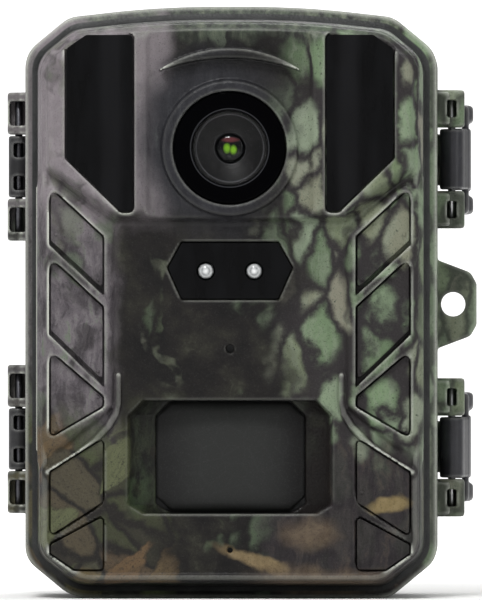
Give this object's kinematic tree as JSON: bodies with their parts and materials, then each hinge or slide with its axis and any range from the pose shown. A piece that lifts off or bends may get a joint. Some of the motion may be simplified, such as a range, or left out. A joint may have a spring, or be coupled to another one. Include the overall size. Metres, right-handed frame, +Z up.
{
  "type": "trail camera",
  "caption": "Camouflaged trail camera whose hinged case has infrared windows, a lens, a motion sensor, side latches, a padlock tab and strap slots.",
  "frame": {"origin": "under the middle of the whole object, on the surface that it stands on", "axes": "+Z up, -Y out of the lens, +X towards the latches"},
  "size_m": [0.1002, 0.0604, 0.125],
  "materials": {
    "camo_plastic": "fine leather grain under a printed bark and leaf camouflage film",
    "gloss_window": "polished, lets infrared light through",
    "clear_glass": "polished, with a green anti-reflection coat",
    "black_plastic": "satin",
    "circuit_board": "solder mask",
    "lamp_resin": "clear moulded resin",
    "sensor_lens": "satin, ribbed on the inside",
    "inner_plastic": "satin",
    "screen_glass": "polished",
    "key_rubber": "matt",
    "seal_rubber": "matt",
    "steel": "bright",
    "brass": "turned",
    "cell_sleeve": "printed sleeve without marks",
    "latch_plastic": "fine grain"
  },
  "bodies": {
    "rear_half": {"rear_housing": "camo_plastic", "case_seal": "seal_rubber", "tripod_insert": "brass", "hinge_link_upper": "black_plastic", "hinge_link_lower": "black_plastic", "hinge_pin_upper": "steel", "hinge_pin_lower": "steel"},
    "front_half": {"front_housing": "camo_plastic", "ir_window_right": "gloss_window", "ir_window_left": "gloss_window", "indicator_window": "gloss_window", "lens_window": "clear_glass", "front_lens": "clear_glass", "lens_barrel": "black_plastic", "lens_holder": "black_plastic", "ir_filter_frame": "black_plastic", "light_sensor": "black_plastic", "motion_lens_retainer": "black_plastic", "power_socket": "black_plastic", "ir_lamp_board_right": "circuit_board", "ir_lamp_board_left": "circuit_board", "camera_board": "circuit_board", "motion_sensor": "circuit_board", "main_board": "circuit_board", "socket_board": "circuit_board", "indicator_lamp_left": "lamp_resin", "indicator_lamp_right": "lamp_resin", "motion_lens": "sensor_lens", "inner_panel": "inner_plastic", "battery_cover": "inner_plastic", "screen": "screen_glass", "microphone": "steel", "panel_screw_left_upper": "steel", "panel_screw_left_lower": "steel", "panel_screw_right_upper": "steel", "panel_screw_right_lower": "steel", "usb_socket": "steel", "card_socket": "steel", "contact_top_left": "steel", "contact_top_right": "steel", "contact_bottom_left": "steel", "contact_bottom_middle": "steel", "contact_bottom_right": "steel", "latch_pin_upper": "steel", "latch_pin_lower": "steel", "battery_1": "cell_sleeve", "battery_2": "cell_sleeve", "battery_3": "cell_sleeve", "battery_4": "cell_sleeve"},
    "upper_latch": {"latch_upper": "latch_plastic"},
    "lower_latch": {"latch_lower": "latch_plastic"},
    "mode_switch": {"switch_knob": "black_plastic"},
    "card": {"memory_card": "black_plastic"},
    "day_night_filter": {"ir_filter": "clear_glass"},
    "key_menu_body": {"key_menu": "key_rubber"},
    "key_left_body": {"key_left": "key_rubber"},
    "key_up_body": {"key_up": "key_rubber"},
    "key_down_body": {"key_down": "key_rubber"},
    "key_right_body": {"key_right": "key_rubber"},
    "key_ok_body": {"key_ok": "key_rubber"}
  },
  "joints": [
    {"name": "case_hinge", "type": "hinge", "parent": "rear_half", "child": "front_half", "pos_m": [-0.04772, 0.01005, 0.0625], "axis": [0, 0, -1], "range_deg": [0, 110]},
    {"name": "upper_latch_pivot", "type": "hinge", "parent": "front_half", "child": "upper_latch", "pos_m": [0.04482, 0.00505, 0.093], "axis": [0, 0, -1], "range_deg": [0, 100]},
    {"name": "lower_latch_pivot", "type": "hinge", "parent": "front_half", "child": "lower_latch", "pos_m": [0.04482, 0.00505, 0.0316], "axis": [0, 0, -1], "range_deg": [0, 100]},
    {"name": "key_menu_press", "type": "slide", "parent": "front_half", "child": "key_menu_body", "axis": [0, -1, 0], "range_m": [0, 0.0004], "stiffness_N_per_m": 1500, "springref_m": -0.0004},
    {"name": "key_left_press", "type": "slide", "parent": "front_half", "child": "key_left_body", "axis": [0, -1, 0], "range_m": [0, 0.0004], "stiffness_N_per_m": 1500, "springref_m": -0.0004},
    {"name": "key_up_press", "type": "slide", "parent": "front_half", "child": "key_up_body", "axis": [0, -1, 0], "range_m": [0, 0.0004], "stiffness_N_per_m": 1500, "springref_m": -0.0004},
    {"name": "key_down_press", "type": "slide", "parent": "front_half", "child": "key_down_body", "axis": [0, -1, 0], "range_m": [0, 0.0004], "stiffness_N_per_m": 1500, "springref_m": -0.0004},
    {"name": "key_right_press", "type": "slide", "parent": "front_half", "child": "key_right_body", "axis": [0, -1, 0], "range_m": [0, 0.0004], "stiffness_N_per_m": 1500, "springref_m": -0.0004},
    {"name": "key_ok_press", "type": "slide", "parent": "front_half", "child": "key_ok_body", "axis": [0, -1, 0], "range_m": [0, 0.0004], "stiffness_N_per_m": 1500, "springref_m": -0.0004},
    {"name": "mode_switch_slide", "type": "slide", "parent": "front_half", "child": "mode_switch", "axis": [0, 0, 1], "range_m": [0, 0.005]},
    {"name": "card_push", "type": "slide", "parent": "front_half", "child": "card", "axis": [0, -1, 0], "range_m": [0, 0.001], "stiffness_N_per_m": 1200, "springref_m": -0.0005},
    {"name": "filter_slide", "type": "slide", "parent": "front_half", "child": "day_night_filter", "axis": [1, 0, 0], "range_m": [0, 0.006]}
  ]
}
